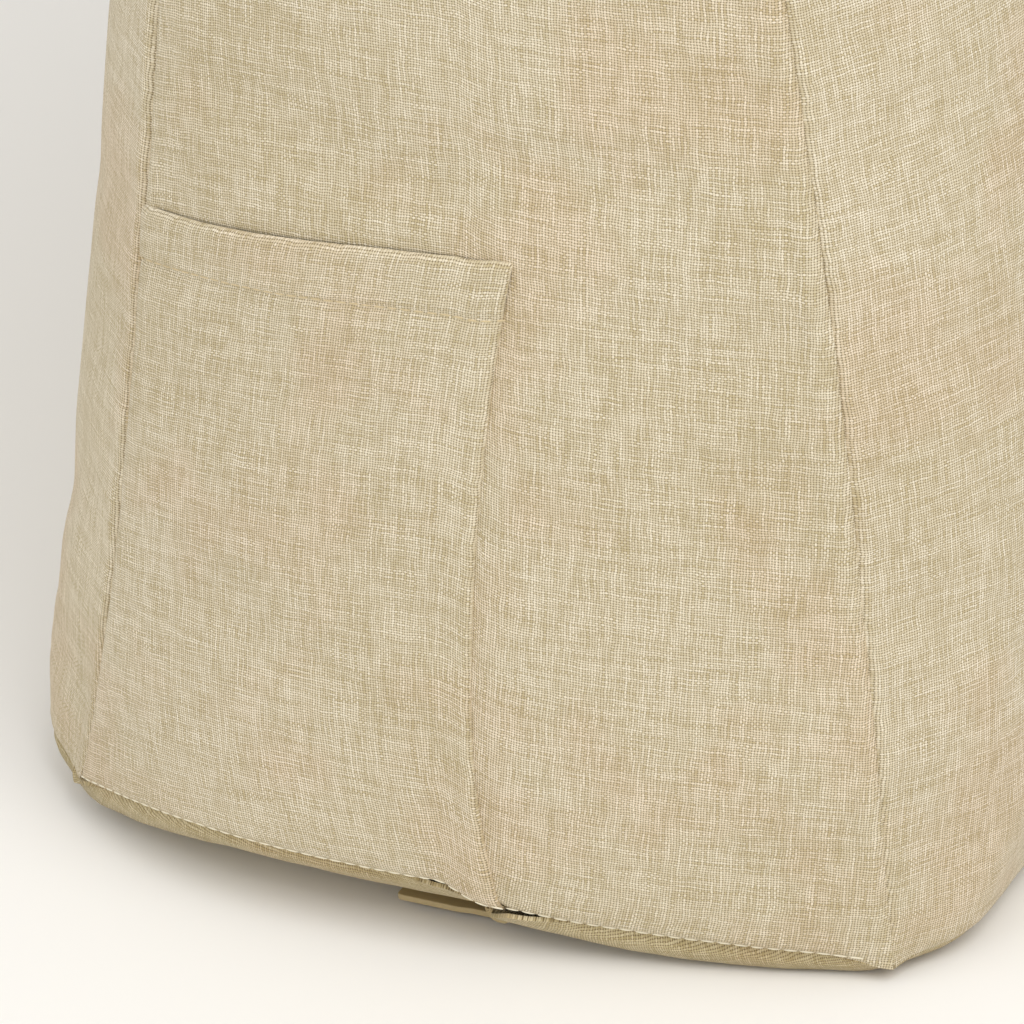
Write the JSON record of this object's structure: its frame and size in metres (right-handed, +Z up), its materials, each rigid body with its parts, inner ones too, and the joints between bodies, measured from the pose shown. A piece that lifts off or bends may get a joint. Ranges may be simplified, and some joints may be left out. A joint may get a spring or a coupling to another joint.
{
  "type": "wedge bolster cushion",
  "caption": "Tall wedge bolster cushion for a bed head or couch: linen-look zip-off cover, fibre fill in a liner, patch pocket on one end.",
  "frame": {"origin": "on the floor, under the middle of the whole object's box", "axes": "+Z up, +X along the cushion away from the pocket end, -Y towards the sloping front face"},
  "size_m": [0.6588, 0.227, 0.5051],
  "materials": {
    "linen_cover": "matte",
    "liner": "matte",
    "fibre": "matte",
    "zip_tape": "matte",
    "zip_coil": "satin",
    "zip_metal": "satin"
  },
  "bodies": {
    "cushion": {"cover_front_panel": "linen_cover", "cover_back_panel": "linen_cover", "cover_end_panel_left": "linen_cover", "cover_end_panel_right": "linen_cover", "cover_base_panel_front": "linen_cover", "cover_base_panel_back": "linen_cover", "pocket_panel": "linen_cover", "liner_front": "liner", "liner_back": "liner", "liner_end_left": "liner", "liner_end_right": "liner", "liner_base": "liner", "fibre_fill": "fibre", "zip_tape_front": "zip_tape", "zip_tape_back": "zip_tape", "zip_coil_front": "zip_coil", "zip_coil_back": "zip_coil"},
    "slider": {"zip_slider": "zip_metal"},
    "pull": {"zip_pull": "zip_metal"}
  },
  "joints": [
    {"name": "slider_travel", "type": "slide", "parent": "cushion", "child": "slider", "axis": [1, 0, 0], "range_m": [0, 0.61]},
    {"name": "pull_swing", "type": "hinge", "parent": "slider", "child": "pull", "pos_m": [-0.30558, -0.0076, 0.0022], "axis": [-1, 0, 0], "range_deg": [0, 180]}
  ]
}
